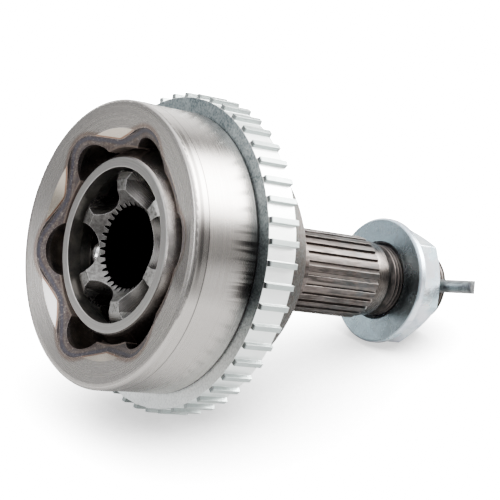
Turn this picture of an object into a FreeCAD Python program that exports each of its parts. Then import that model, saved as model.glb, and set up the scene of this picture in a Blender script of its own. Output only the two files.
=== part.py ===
# Fixed ball (Rzeppa) constant velocity joint for the wheel end of a drive shaft.
# Frame: X is the joint's axis and runs from the joint's centre along the stub
# shaft to the hub nut, the open mouth faces -X, and Z is up. The origin is the
# centre about which the joint bends. Lengths are in millimetres.
import FreeCAD, Part
import math
import os
import Sketcher

doc = FreeCAD.newDocument("cv_joint")
sheet = doc.addObject("Spreadsheet::Sheet", "sizes")
bodies = []


class Dim:
    """A length or an angle: its value now, and the text that ties it to the sheet."""

    def __init__(self, value, text):
        self.value = float(value)
        self.text = text

    def __add__(self, other):
        return Dim(self.value + dim(other).value, "(%s + %s)" % (self.text, dim(other).text))

    def __sub__(self, other):
        return Dim(self.value - dim(other).value, "(%s - %s)" % (self.text, dim(other).text))

    def __mul__(self, other):
        return Dim(self.value * dim(other).value, "(%s * %s)" % (self.text, dim(other).text))

    def __truediv__(self, other):
        return Dim(self.value / dim(other).value, "(%s / %s)" % (self.text, dim(other).text))

    def __rtruediv__(self, other):
        return dim(other) / self

    def __neg__(self):
        return Dim(-self.value, "(0 - %s)" % self.text)


def dim(length):
    return length if isinstance(length, Dim) else Dim(length, str(length))


def root(square):
    return Dim(math.sqrt(square.value), "sqrt(%s)" % square.text)


def leg(slope, side):
    """The third side of a right triangle with the given slope and one short side."""
    return root(slope * slope - side * side)


def cosine(angle):
    return Dim(math.cos(math.radians(angle.value)), "cos(%s)" % angle.text)


def sine(angle):
    return Dim(math.sin(math.radians(angle.value)), "sin(%s)" % angle.text)


def size(name, value):
    """One driving size: a row of the sheet with its value and its alias."""
    row = len(rows) + 1
    rows.append(name)
    sheet.set("A%d" % row, name)
    sheet.set("B%d" % row, str(value))
    sheet.setAlias("B%d" % row, name)
    return Dim(value, "sizes." + name)


rows = []

# Bell: the cup of the outer race
mouthDepth = size("mouthDepth", 21.3)          # joint centre to the front face
lipRadius = size("lipRadius", 44.4)            # ground lip behind the front face
lipRound = size("lipRound", 1.1)               # rounding of the front edge
lipLength = size("lipLength", 5.0)             # front face to the fine step
bodyRadius = size("bodyRadius", 44.1)          # ground cup behind the lip
seatLength = size("seatLength", 10.5)          # seat of the sensor ring
seatRadius = size("seatRadius", 43.2)
cupStep = size("cupStep", 1.9)                 # from the seat out to the cup's round back
ringShoulder = size("ringShoulder", 2.4)       # joint centre to the ring's front
rimWidth = size("rimWidth", 0.8)               # flat rim inside the rounding
dishDepth = size("dishDepth", 0.9)             # hollow of the front face at the bevel
sinkRadius = size("sinkRadius", 35.6)          # turned bevel of the lands
sinkDepth = size("sinkDepth", 3.25)
sinkEdge = size("sinkEdge", 32.75)             # foot of that bevel
landRadius = size("landRadius", 32.4)          # where the lobes' flanks meet
mouthBore = size("mouthBore", 30.3)            # lands between the tracks at the mouth
reliefOuter = size("reliefOuter", 38.6)        # forged cone that the tracks open into
reliefStart = size("reliefStart", 0.5)
reliefDepth = size("reliefDepth", 4.55)
lobeCentre = size("lobeCentre", 28.2)          # lobe of that cone round each track
lobeRadius = size("lobeRadius", 10.1)
cavityFloor = size("cavityFloor", 28.0)        # joint centre to the cup's flat floor

# Tracks, balls and cage
trackCount = size("trackCount", 6)
ballRadius = size("ballRadius", 7.938)
ballCircle = size("ballCircle", 30.1)          # joint centre to ball centre
trackOffset = size("trackOffset", 3.2)         # track centres before and behind the joint's
trackClearance = size("trackClearance", 0.6)   # room for a ball's sideways play
trackFront = size("trackFront", 62.0)          # sweep of a cup track towards the mouth
trackBack = size("trackBack", 49.0)            # and towards the floor
ballLead = size("ballLead", 0.95)              # the balls beside the bending axis lie this far on
cageOuter = size("cageOuter", 32.75)
cageInner = size("cageInner", 27.58)
cageHalf = size("cageHalf", 18.4)
cageFrontBore = size("cageFrontBore", 24.0)
cageBackBore = size("cageBackBore", 21.5)
cageEdge = size("cageEdge", 0.4)
sphereClearance = size("sphereClearance", 0.08)
windowLength = size("windowLength", 19.6)
windowCorner = size("windowCorner", 3.2)
windowClearance = size("windowClearance", 0.05)

# Inner race
raceFront = size("raceFront", 16.5)            # joint centre to the front of the limbs
raceFace = size("raceFace", 20.5)              # outer edge of their flat front
raceSink = size("raceSink", 17.2)              # countersink from there down to the bore
raceSinkPlace = size("raceSinkPlace", 12.1)
raceBack = size("raceBack", 12.6)
raceBackFace = size("raceBackFace", 21.2)
raceBevel = size("raceBevel", 1.2)
raceSweep = size("raceSweep", 60.0)            # sweep of an inner track to each side
boreMinor = size("boreMinor", 12.8)            # over the tips of the inner splines
boreMajor = size("boreMajor", 14.0)
boreTeeth = size("boreTeeth", 36)
boreGapRoot = size("boreGapRoot", 0.5)
boreGapMouth = size("boreGapMouth", 1.75)

# Sensor ring
ringWall = size("ringWall", 5.45)              # from the seat out to the gaps' floors
ringToothHeight = size("ringToothHeight", 1.45)
ringTeeth = size("ringTeeth", 48)
ringToothBase = size("ringToothBase", 1.95)
ringToothTip = size("ringToothTip", 1.65)
ringTurn = size("ringTurn", 6.0)
ringEdge = size("ringEdge", 0.4)

# Stub shaft
shoulderPlace = size("shoulderPlace", 39.8)    # joint centre to the bearing shoulder
shoulderFillet = size("shoulderFillet", 1.5)
stubRadius = size("stubRadius", 14.1)
stubLength = size("stubLength", 9.6)
splineRadius = size("splineRadius", 13.9)
splineRootRadius = size("splineRootRadius", 12.75)
splineLength = size("splineLength", 32.3)
splineTeeth = size("splineTeeth", 26)
splineGapRoot = size("splineGapRoot", 0.9)
splineGapMouth = size("splineGapMouth", 1.95)
splineBevel = size("splineBevel", 0.7)
seatLandRadius = size("seatLandRadius", 12.7)
seatLandLength = size("seatLandLength", 5.7)
seatLandBevel = size("seatLandBevel", 0.7)
reliefRadius = size("reliefRadius", 10.7)
reliefLength = size("reliefLength", 1.9)
threadRadius = size("threadRadius", 12.0)       # over the crests, which are left out
threadDepth = size("threadDepth", 0.4)
threadLength = size("threadLength", 26.1)
threadBevel = size("threadBevel", 0.8)
centreHole = size("centreHole", 2.5)           # centre drilling: radius, then its countersink
centreMouth = size("centreMouth", 4.4)
centreSink = size("centreSink", 3.2)
centreDepth = size("centreDepth", 7.0)
centrePoint = size("centrePoint", 1.5)         # length of the drill's point

# Hub nut
nutPlace = size("nutPlace", 3.6)               # thread's start to the nut's flat face
threadClearance = size("threadClearance", 0.05)  # core of the thread to the nut's bore
flangeRadius = size("flangeRadius", 21.4)
flangeBevel = size("flangeBevel", 0.7)
flangeRim = size("flangeRim", 1.6)
flangeCone = size("flangeCone", 1.3)
nutFlats = size("nutFlats", 36.0)
nutHeight = size("nutHeight", 13.1)
nutTurn = size("nutTurn", 56.0)
nutCrown = size("nutCrown", 17.0)              # radius where the back bevel starts
nutCrownDepth = size("nutCrownDepth", 2.2)
crownRoom = size("crownRoom", 1.0)             # cut of that bevel past the corners
nutBevel = size("nutBevel", 1.8)

# Split pin
pinGap = size("pinGap", 4.4)                   # nut's back to the pin's axis
pinRadius = size("pinRadius", 2.25)
pinClearance = size("pinClearance", 0.2)
pinTurn = size("pinTurn", 63.3)
pinSlit = size("pinSlit", 0.12)
pinLong = size("pinLong", 29.7)
pinShort = size("pinShort", 22.7)
pinHead = size("pinHead", 0.15)                # thread to the pin's eye
pinEye = size("pinEye", 1.9)

# Places that follow from the sizes
trackCentre = root(ballCircle * ballCircle + trackOffset * trackOffset)
trackRadius = ballRadius + trackClearance
cupInner = cageOuter + sphereClearance
raceSphere = cageInner - sphereClearance
cupOuterRadius = seatRadius + cupStep
ringRoot = seatRadius + ringWall
ringTip = ringRoot + ringToothHeight
ringBack = ringShoulder + seatLength
splineStart = shoulderPlace + stubLength
splineEnd = splineStart + splineLength
landEnd = splineEnd + seatLandLength
threadStart = landEnd + reliefLength
threadEnd = threadStart + threadLength
threadCore = threadRadius - threadDepth
nutFront = threadStart + nutPlace
nutBack = nutFront + nutHeight
pinPlace = nutBack + pinGap


def bind(thing, path, length):
    thing.setExpression(path, dim(length).text)


def make_body(name):
    body = doc.addObject("PartDesign::Body", name)
    body.Label = name
    bodies.append(body)
    return body


def plane(body, role):
    return [item for item in body.Origin.OriginFeatures if item.Role == role][0]


def make_sketch(body, name, role, offset=None, turn=None):
    sketch = body.newObject("Sketcher::SketchObject", name)
    sketch.AttachmentSupport = (plane(body, role), [""])
    sketch.MapMode = "FlatFace"
    if turn is not None:
        tilt = FreeCAD.Rotation(FreeCAD.Vector(1, 0, 0), turn.value)
        sketch.AttachmentOffset = FreeCAD.Placement(FreeCAD.Vector(0, 0, 0), tilt)
        bind(sketch, "AttachmentOffset.Rotation.Angle", turn)
    if offset is not None:
        bind(sketch, "AttachmentOffset.Base.z", offset)
    return sketch


def tie(sketch, constraint, length):
    number = sketch.addConstraint(constraint)
    bind(sketch, "Constraints[%d]" % number, length)


def place(sketch, item, point, x, y):
    """Fix a point of a sketch at x and y from its origin, each may be left free."""
    if x is not None and x.value == 0:
        sketch.addConstraint(Sketcher.Constraint("PointOnObject", item, point, -2))
    elif x is not None:
        tie(sketch, Sketcher.Constraint("DistanceX", -1, 1, item, point, x.value), x)
    if y is not None and y.value == 0:
        sketch.addConstraint(Sketcher.Constraint("PointOnObject", item, point, -1))
    elif y is not None:
        tie(sketch, Sketcher.Constraint("DistanceY", -1, 1, item, point, y.value), y)


def vector(corner):
    return FreeCAD.Vector(corner[0].value, corner[1].value, 0)


def line(x, y):
    return ("line", dim(x), dim(y))


def arc(x, y, centre_x, centre_y, turn):
    """An arc to (x, y): turn is 1 against the clock and -1 with it."""
    return ("arc", dim(x), dim(y), dim(centre_x), dim(centre_y), turn)


def outline(sketch, steps):
    """A closed outline of lines and arcs, with every corner tied to the sheet."""
    corners = [(step[1], step[2]) for step in steps]
    pieces = []
    for index, step in enumerate(steps):
        before = corners[index - 1]
        after = corners[index]
        if step[0] == "line":
            item = sketch.addGeometry(Part.LineSegment(vector(before), vector(after)), False)
            pieces.append((item, 1, 2))
            continue
        centre = vector((step[3], step[4]))
        first, last = (before, after) if step[5] > 0 else (after, before)
        spoke = vector(first) - centre
        other = vector(last) - centre
        circle = Part.Circle(centre, FreeCAD.Vector(0, 0, 1), spoke.Length)
        begin = math.atan2(spoke.y, spoke.x)
        finish = math.atan2(other.y, other.x)
        item = sketch.addGeometry(Part.ArcOfCircle(circle, begin, finish), False)
        pieces.append((item, 1, 2) if step[5] > 0 else (item, 2, 1))
    for index, piece in enumerate(pieces):
        before = pieces[index - 1]
        joint = Sketcher.Constraint("Coincident", before[0], before[2], piece[0], piece[1])
        sketch.addConstraint(joint)
    for piece, step in zip(pieces, steps):
        if step[0] == "line":
            place(sketch, piece[0], piece[2], step[1], step[2])
        else:
            place(sketch, piece[0], 3, step[3], step[4])
            steep = abs(step[2].value - step[4].value) > abs(step[1].value - step[3].value)
            held_x = step[1] if steep else None
            held_y = None if steep else step[2]
            place(sketch, piece[0], piece[2], held_x, held_y)


def circle_at(sketch, x, y, radius):
    centre = vector((dim(x), dim(y)))
    shape = Part.Circle(centre, FreeCAD.Vector(0, 0, 1), radius.value)
    item = sketch.addGeometry(shape, False)
    place(sketch, item, 3, dim(x), dim(y))
    tie(sketch, Sketcher.Constraint("Radius", item, radius.value), radius)


def feature(body, kind, name, sketch):
    item = body.newObject("PartDesign::" + kind, name)
    item.Profile = sketch
    return item


def spin(body, kind, name, sketch, angles=None):
    """Turn a sketch about its own horizontal axis, fully or through two angles."""
    item = feature(body, kind, name, sketch)
    item.ReferenceAxis = (sketch, ["H_Axis"])
    item.Angle = 360
    if angles is not None:
        item.Type = "TwoAngles"
        bind(item, "Angle", angles[0])
        bind(item, "Angle2", angles[1])
    return item


def pocket(body, name, sketch, length=None):
    """Cut a sketch along its normal, through everything where no length is given."""
    item = feature(body, "Pocket", name, sketch)
    item.Reversed = True
    if length is None:
        item.Type = "ThroughAll"
    else:
        item.Type = "Length"
        bind(item, "Length", length)
    return item


def pad(body, name, sketch, length):
    item = feature(body, "Pad", name, sketch)
    item.Type = "Length"
    bind(item, "Length", length)
    return item


def around(body, name, item, count):
    """Repeat a feature evenly round the joint's axis."""
    copies = body.newObject("PartDesign::PolarPattern", name)
    copies.Originals = [item]
    copies.Axis = (plane(body, "X_Axis"), [""])
    copies.Angle = 360
    bind(copies, "Occurrences", count)
    body.Tip = copies
    return copies


# Outer race: cup and stub shaft turned from one forging
outer = make_body("outer_race")
turned = make_sketch(outer, "outer_profile", "XZ_Plane")
threadRun = threadCore - reliefRadius
outline(turned, [
    line(-mouthDepth, 0),
    line(-mouthDepth, lipRadius - lipRound),
    arc(lipRound - mouthDepth, lipRadius, lipRound - mouthDepth, lipRadius - lipRound, -1),
    line(lipLength - mouthDepth, lipRadius),
    line(lipLength - mouthDepth + (lipRadius - bodyRadius), bodyRadius),
    line(ringShoulder, bodyRadius),
    line(ringShoulder, seatRadius),
    line(leg(cupOuterRadius, seatRadius), seatRadius),
    arc(shoulderPlace, leg(cupOuterRadius, shoulderPlace), 0, 0, -1),
    line(shoulderPlace, stubRadius + shoulderFillet),
    arc(shoulderPlace + shoulderFillet, stubRadius,
        shoulderPlace + shoulderFillet, stubRadius + shoulderFillet, 1),
    line(splineStart, stubRadius),
    line(splineStart, splineRadius),
    line(splineEnd - splineBevel, splineRadius),
    line(splineEnd, splineRadius - splineBevel),
    line(splineEnd, seatLandRadius),
    line(landEnd - seatLandBevel, seatLandRadius),
    line(landEnd, seatLandRadius - seatLandBevel),
    line(landEnd, reliefRadius),
    line(threadStart, reliefRadius),
    line(threadStart + threadRun, threadCore),
    line(threadEnd - threadBevel, threadCore),
    line(threadEnd, threadCore - threadBevel),
    line(threadEnd, 0),
])
spin(outer, "Revolution", "outer_turned", turned)

hollow = make_sketch(outer, "cup_profile", "XZ_Plane")
outline(hollow, [
    line(-mouthDepth, 0),
    line(-mouthDepth, lipRadius - lipRound - rimWidth),
    line(dishDepth - mouthDepth, sinkRadius),
    line(sinkDepth - mouthDepth, sinkEdge),
    line(sinkDepth - mouthDepth, mouthBore),
    line(-leg(cupInner, mouthBore), mouthBore),
    arc(cavityFloor, leg(cupInner, cavityFloor), 0, 0, -1),
    line(cavityFloor, 0),
])
spin(outer, "Groove", "cup_hollow", hollow)

# Mouth of the tracks: a lobe round each track, with straight flanks to the middle of
# the lands beside it, cut down to a cone that rises to the front face at the lobes
lobe = make_sketch(outer, "lobe_outline", "YZ_Plane", -mouthDepth)
half = 180 / trackCount
landX = landRadius * sine(half)
landY = landRadius * cosine(half)
riseY = landY - lobeCentre
reach = landX * landX + riseY * riseY
flank = root(reach - lobeRadius * lobeRadius)
touchX = lobeRadius * (landX * lobeRadius - riseY * flank) / reach
touchY = lobeCentre + lobeRadius * (riseY * lobeRadius + landX * flank) / reach
outline(lobe, [
    line(landX, landY),
    line(touchX, touchY),
    arc(-touchX, touchY, 0, lobeCentre, 1),
    line(-landX, landY),
    line(-landX / 2, landY / 2),
    line(landX / 2, landY / 2),
])
cut = pocket(outer, "lobe", lobe, reliefDepth)
around(outer, "lobes", cut, trackCount)
cone = make_sketch(outer, "relief_profile", "XZ_Plane")
outline(cone, [
    line(reliefStart - mouthDepth, reliefOuter),
    line(reliefDepth - mouthDepth, mouthBore),
    line(reliefDepth - mouthDepth, reliefOuter),
])
spin(outer, "Revolution", "relief", cone)

track = make_sketch(outer, "track_section", "YZ_Plane", -trackOffset)
circle_at(track, 0, trackCentre, trackRadius)
cut = spin(outer, "Groove", "track", track, (trackBack, trackFront))
around(outer, "tracks", cut, trackCount)

gap = make_sketch(outer, "spline_gap", "YZ_Plane", splineStart)
gapTop = splineRadius + splineBevel
outline(gap, [
    line(-splineGapRoot / 2, splineRootRadius),
    line(splineGapRoot / 2, splineRootRadius),
    line(splineGapMouth / 2, gapTop),
    line(-splineGapMouth / 2, gapTop),
])
cut = pocket(outer, "spline_cut", gap, splineLength)
around(outer, "splines", cut, splineTeeth)

hole = make_sketch(outer, "pin_hole_place", "XY_Plane", None, pinTurn)
circle_at(hole, pinPlace, 0, pinRadius + pinClearance)
cut = pocket(outer, "pin_hole", hole)
cut.Midplane = True

centre = make_sketch(outer, "centre_profile", "XZ_Plane")
outline(centre, [
    line(threadEnd - centreDepth, 0),
    line(threadEnd - centreDepth + centrePoint, centreHole),
    line(threadEnd - centreSink, centreHole),
    line(threadEnd, centreMouth),
    line(threadEnd, 0),
])
spin(outer, "Groove", "centre_drilling", centre)

# Sensor ring: zinc plated, pressed on the cup, with narrow proud teeth
ring = make_body("abs_ring")
section = make_sketch(ring, "ring_profile", "XZ_Plane")
outline(section, [
    line(ringShoulder, seatRadius + ringEdge),
    line(ringShoulder, ringRoot),
    line(ringBack, ringRoot),
    line(ringBack, seatRadius),
    line(ringShoulder + ringEdge, seatRadius),
])
spin(ring, "Revolution", "ring_turned", section)
tooth = make_sketch(ring, "ring_tooth", "YZ_Plane", ringShoulder)
across = cosine(ringTurn)
along = sine(ringTurn)
toothRoot = ringRoot - ringEdge
halfBase = ringToothBase / 2
halfTip = ringToothTip / 2
outline(tooth, [
    line(across * toothRoot + along * halfBase, along * toothRoot - across * halfBase),
    line(across * ringTip + along * halfTip, along * ringTip - across * halfTip),
    line(across * ringTip - along * halfTip, along * ringTip + across * halfTip),
    line(across * toothRoot - along * halfBase, along * toothRoot + across * halfBase),
])
rib = pad(ring, "tooth", tooth, seatLength)
around(ring, "teeth", rib, ringTeeth)

# Cage: a ball-shaped band with a flat ground front rim and six windows
cage = make_body("cage")
band = make_sketch(cage, "cage_profile", "XZ_Plane")
rimTop = leg(cageOuter, cageHalf) - cageEdge
edgePlace = cageHalf - cageEdge
edgeRadius = leg(cageOuter, edgePlace)
outline(band, [
    line(-cageHalf, cageFrontBore),
    line(-cageHalf, rimTop),
    line(-edgePlace, edgeRadius),
    arc(edgePlace, edgeRadius, 0, 0, -1),
    line(cageHalf, rimTop),
    line(cageHalf, cageBackBore),
    line(leg(cageInner, cageBackBore), cageBackBore),
    arc(-leg(cageInner, cageFrontBore), cageFrontBore, 0, 0, 1),
])
spin(cage, "Revolution", "cage_turned", band)
window = make_sketch(cage, "window_outline", "XY_Plane")
halfWidth = ballRadius + windowClearance
halfLength = windowLength / 2
cornerX = halfWidth - windowCorner
cornerY = halfLength - windowCorner
outline(window, [
    line(cornerX, -halfLength),
    arc(halfWidth, -cornerY, cornerX, -cornerY, 1),
    line(halfWidth, cornerY),
    arc(cornerX, halfLength, cornerX, cornerY, 1),
    line(-cornerX, halfLength),
    arc(-halfWidth, cornerY, -cornerX, cornerY, 1),
    line(-halfWidth, -cornerY),
    arc(-cornerX, -halfLength, -cornerX, -cornerY, 1),
])
cut = pocket(cage, "window", window)
around(cage, "windows", cut, trackCount)

# Inner race: a star with six tracks and a splined bore for the drive shaft
race = make_body("inner_race")
star = make_sketch(race, "race_profile", "XZ_Plane")
frontBevel = raceFront - raceBevel
backBevel = raceBack - raceBevel
outline(star, [
    line(-raceSinkPlace, boreMinor),
    line(-raceFront, raceSink),
    line(-raceFront, raceFace),
    line(-frontBevel, leg(raceSphere, frontBevel)),
    arc(backBevel, leg(raceSphere, backBevel), 0, 0, -1),
    line(raceBack, raceBackFace),
    line(raceBack, boreMinor),
])
spin(race, "Revolution", "race_turned", star)
groove = make_sketch(race, "groove_section", "YZ_Plane", trackOffset)
circle_at(groove, 0, trackCentre, trackRadius)
cut = spin(race, "Groove", "race_track", groove, (raceSweep, raceSweep))
around(race, "race_tracks", cut, trackCount)
gap = make_sketch(race, "bore_gap", "YZ_Plane", -raceFront)
outline(gap, [
    line(-boreGapMouth / 2, boreMinor - boreGapRoot),
    line(boreGapMouth / 2, boreMinor - boreGapRoot),
    line(boreGapRoot / 2, boreMajor),
    line(-boreGapRoot / 2, boreMajor),
])
cut = pocket(race, "bore_cut", gap)
around(race, "bore_splines", cut, boreTeeth)

# Balls: one in each track. The four beside the bending axis lie a little
# further from it, where they stay while the joint bends.
ballSides = (1, 0, -1, 1, 0, -1)
pitch = 360 / trackCount
for number in range(int(trackCount.value)):
    ball = make_body("ball_%d" % (number + 1))
    half = make_sketch(ball, ball.Name + "_profile", "XZ_Plane")
    outline(half, [
        line(-ballRadius, 0),
        arc(ballRadius, 0, 0, 0, -1),
    ])
    spin(ball, "Revolution", ball.Name + "_turned", half)
    spot = pitch * (number + 0.5) + ballLead * ballSides[number]
    bind(ball, "Placement.Base.y", ballCircle * cosine(spot))
    bind(ball, "Placement.Base.z", ballCircle * sine(spot))

# Hub nut: a hexagon with a flange on the side of the cup
nut = make_body("axle_nut")
flange = make_sketch(nut, "flange_profile", "XZ_Plane")
rimEnd = nutFront + flangeBevel + flangeRim
coneEnd = rimEnd + flangeCone
outline(flange, [
    line(nutFront, 0),
    line(nutFront, flangeRadius - flangeBevel),
    line(nutFront + flangeBevel, flangeRadius),
    line(rimEnd, flangeRadius),
    line(coneEnd, nutFlats / 2),
    line(coneEnd, 0),
])
spin(nut, "Revolution", "flange", flange)
hexagon = make_sketch(nut, "hexagon", "YZ_Plane", nutFront + flangeBevel)
nutCorner = nutFlats / root(dim(3))
corners = [nutTurn + 60 * side for side in range(6)]
outline(hexagon, [line(nutCorner * cosine(turn), nutCorner * sine(turn)) for turn in corners])
pad(nut, "flats", hexagon, nutHeight - flangeBevel)
crown = make_sketch(nut, "crown_profile", "XZ_Plane")
crownSlope = nutCrownDepth / (nutCorner - nutCrown)
outline(crown, [
    line(nutBack, nutCrown),
    line(nutBack, nutCorner + crownRoom),
    line(nutBack - nutCrownDepth - crownSlope * crownRoom, nutCorner + crownRoom),
])
spin(nut, "Groove", "crown", crown)
bore = make_sketch(nut, "bore_profile", "XZ_Plane")
nutBore = threadCore + threadClearance
outline(bore, [
    line(nutFront, 0),
    line(nutFront, nutBore + nutBevel),
    line(nutFront + nutBevel, nutBore),
    line(nutBack - nutBevel, nutBore),
    line(nutBack, nutBore + nutBevel),
    line(nutBack, 0),
])
spin(nut, "Groove", "bore", bore)

# Split pin: half-round wire folded to an eye, with one leg longer. Its own Z runs
# down the legs, and its eye is on the far side of the threaded end.
pin = make_body("split_pin")
neck = threadRadius + pinHead + pinRadius
eyePlace = neck + pinEye
shank = make_sketch(pin, "shank_section", "XY_Plane", -neck)
circle_at(shank, 0, 0, pinRadius)
pad(pin, "shank", shank, neck + pinLong)
eye = make_sketch(pin, "eye_section", "YZ_Plane")
bind(eye, "AttachmentOffset.Base.y", -eyePlace)
outline(eye, [
    line(-pinRadius, pinEye),
    arc(pinRadius, pinEye, 0, pinEye, -1),
])
spin(pin, "Revolution", "eye", eye)
slit = make_sketch(pin, "slit_outline", "XZ_Plane")
outline(slit, [
    line(-pinSlit / 2, -eyePlace),
    line(pinSlit / 2, -eyePlace),
    line(pinSlit / 2, pinLong),
    line(-pinSlit / 2, pinLong),
])
cut = pocket(pin, "slit", slit)
cut.Midplane = True
shortEnd = make_sketch(pin, "short_outline", "XZ_Plane")
outline(shortEnd, [
    line(0, pinShort),
    line(pinRadius, pinShort),
    line(pinRadius, pinLong),
    line(0, pinLong),
])
cut = pocket(pin, "short_leg", shortEnd)
cut.Midplane = True
pin.Placement = FreeCAD.Placement(
    FreeCAD.Vector(0, 0, 0), FreeCAD.Rotation(FreeCAD.Vector(1, 0, 0), pinTurn.value)
)
bind(pin, "Placement.Base.x", pinPlace)
bind(pin, "Placement.Rotation.Angle", pinTurn)

doc.recompute()
faults = [item.Name for item in doc.Objects if {"Invalid", "Error"} & set(item.State)]
faults += [body.Label for body in bodies if body.Shape.isNull() or not body.Shape.isValid()]
if faults:
    raise RuntimeError("not built: " + ", ".join(faults))
os.makedirs("parts", exist_ok=True)
for body in bodies:
    body.Shape.exportStep("parts/%s.step" % body.Label)
    print("%-12s solids %d, volume %.1f mm3" % (body.Label, len(body.Shape.Solids), body.Shape.Volume))
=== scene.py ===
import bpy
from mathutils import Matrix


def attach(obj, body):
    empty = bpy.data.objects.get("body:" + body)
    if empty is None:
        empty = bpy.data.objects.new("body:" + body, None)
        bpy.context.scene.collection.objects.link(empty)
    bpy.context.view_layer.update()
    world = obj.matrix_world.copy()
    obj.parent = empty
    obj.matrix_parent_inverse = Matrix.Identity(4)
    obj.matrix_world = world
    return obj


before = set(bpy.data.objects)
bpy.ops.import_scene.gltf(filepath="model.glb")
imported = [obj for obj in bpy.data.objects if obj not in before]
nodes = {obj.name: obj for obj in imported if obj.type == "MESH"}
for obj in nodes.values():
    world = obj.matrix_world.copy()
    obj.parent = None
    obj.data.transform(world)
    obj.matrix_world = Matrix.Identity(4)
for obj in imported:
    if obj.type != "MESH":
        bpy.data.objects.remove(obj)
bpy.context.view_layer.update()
import math
import bpy
import numpy as np
from mathutils import Matrix, Vector

mm = 0.001
white = (1, 1, 1, 1)
number, vectorKind = "NodeSocketFloat", "NodeSocketVector"


# Node helpers: each adds shader nodes and gives back the socket that matters
def fill(tree, made, values):
    for key, value in (values or {}).items():
        if isinstance(value, bpy.types.NodeSocket):
            tree.links.new(value, made.inputs[key])
        else:
            made.inputs[key].default_value = value
    return made


def put(tree, kind, values=None, **settings):
    made = tree.nodes.new(kind)
    for key, value in settings.items():
        setattr(made, key, value)
    return fill(tree, made, values)


def calc(tree, operation, first, second=0.0, third=0.0):
    return put(tree, "ShaderNodeMath", {0: first, 1: second, 2: third}, operation=operation).outputs[0]


def both(tree, first, second):
    return calc(tree, "MULTIPLY", first, second)


def above(tree, value, limit):
    return calc(tree, "GREATER_THAN", value, limit)


def below(tree, value, limit):
    return calc(tree, "LESS_THAN", value, limit)


def outside(tree, mask):
    return calc(tree, "SUBTRACT", 1.0, mask)


def strongest(tree, first, *others):
    for other in others:
        first = calc(tree, "MAXIMUM", first, other)
    return first


def mixValue(tree, mask, first, second):
    return put(tree, "ShaderNodeMix", {0: mask, 2: first, 3: second}, data_type="FLOAT").outputs[0]


def mixColour(tree, mask, first, second):
    return put(tree, "ShaderNodeMix", {0: mask, 6: first, 7: second}, data_type="RGBA").outputs[2]


def paint(tree, colour, over, mask, amount=None):
    # the second colour laid over the first where the mask is set
    mask = mask if amount is None else both(tree, mask, amount)
    return mixColour(tree, mask, colour, over)


def ease(tree, value, low, high, start=0.0, end=1.0):
    # smooth step: start below low, end above high
    made = put(tree, "ShaderNodeMapRange", {0: value, 1: low, 2: high, 3: start, 4: end})
    made.interpolation_type = "SMOOTHSTEP"
    return made.outputs[0]


def cloud(tree, vector, scale, detail=3.0, rough=0.55, twist=0.0):
    made = put(tree, "ShaderNodeTexNoise", {"Vector": vector, "Scale": scale, "Detail": detail})
    return fill(tree, made, {"Roughness": rough, "Distortion": twist}).outputs[0]


def scaled(tree, vector, factors):
    return put(tree, "ShaderNodeVectorMath", {0: vector, 1: factors}, operation="MULTIPLY").outputs[0]


def length(tree, vector):
    return put(tree, "ShaderNodeVectorMath", {0: vector}, operation="LENGTH").outputs["Value"]


def likeness(tree, first, second):
    # cosine of the angle between two directions
    return put(tree, "ShaderNodeVectorMath", {0: first, 1: second}, operation="DOT_PRODUCT").outputs["Value"]


def newGroup(name, inputs, outputs):
    tree = bpy.data.node_groups.new(name, "ShaderNodeTree")
    for label, value in inputs.items():
        socket = tree.interface.new_socket(name=label, in_out="INPUT", socket_type="NodeSocketFloat")
        socket.default_value = value
    for label, kind in outputs.items():
        tree.interface.new_socket(name=label, in_out="OUTPUT", socket_type=kind)
    return tree, tree.nodes.new("NodeGroupInput").outputs, tree.nodes.new("NodeGroupOutput").inputs


def useGroup(tree, name, values=None):
    made = tree.nodes.new("ShaderNodeGroup")
    made.node_tree = bpy.data.node_groups[name]
    return fill(tree, made, values).outputs


# Where a point lies on the joint, in millimetres: along the axis, out from it, and
# the direction round it as a cosine and a sine, so that nothing has a seam
def buildPlaces():
    outputs = {"Along": number, "Radius": number, "Side": number, "Top": number, "Point": vectorKind}
    tree, _, out = newGroup("places", {}, outputs)
    point = scaled(tree, put(tree, "ShaderNodeTexCoord").outputs["Object"], (1 / mm, 1 / mm, 1 / mm))
    along, side, top = put(tree, "ShaderNodeSeparateXYZ", {0: point}).outputs
    radius = calc(tree, "SQRT", calc(tree, "MULTIPLY_ADD", side, side, both(tree, top, top)))
    safe = calc(tree, "MAXIMUM", radius, 0.01)
    results = [along, radius, calc(tree, "DIVIDE", side, safe), calc(tree, "DIVIDE", top, safe), point]
    for index, result in enumerate(results):
        tree.links.new(result, out[index])


# Mask that is one between two values, with soft ends
def buildBetween():
    inputs = {"Value": 0, "Low": 0, "High": 1, "Soft": 0.2}
    tree, given, out = newGroup("between", inputs, {"Mask": number})
    half = both(tree, given["Soft"], 0.5)
    sides = []
    for edge, start, end in (("Low", 0.0, 1.0), ("High", 1.0, 0.0)):
        before = calc(tree, "SUBTRACT", given[edge], half)
        after = calc(tree, "ADD", given[edge], half)
        sides.append(ease(tree, given["Value"], before, after, start, end))
    tree.links.new(both(tree, *sides), out[0])


# Tool marks left by turning or grinding: noise that is fine along and across the
# axis and very long round it
def buildToolMarks():
    inputs = {"Fineness": 3.0, "Length": 1.5}
    tree, given, out = newGroup("toolMarks", inputs, {"Tone": number, "Height": number})
    spot = useGroup(tree, "places")
    across = both(tree, calc(tree, "ADD", spot["Along"], spot["Radius"]), given["Fineness"])
    side = both(tree, spot["Side"], given["Length"])
    top = both(tree, spot["Top"], given["Length"])
    drawn = put(tree, "ShaderNodeCombineXYZ", {0: across, 1: side, 2: top}).outputs[0]
    tree.links.new(ease(tree, cloud(tree, drawn, 0.6, 2.0), 0.3, 0.7), out[0])
    tree.links.new(cloud(tree, drawn, 2.6, 3.0, 0.7), out[1])


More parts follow.
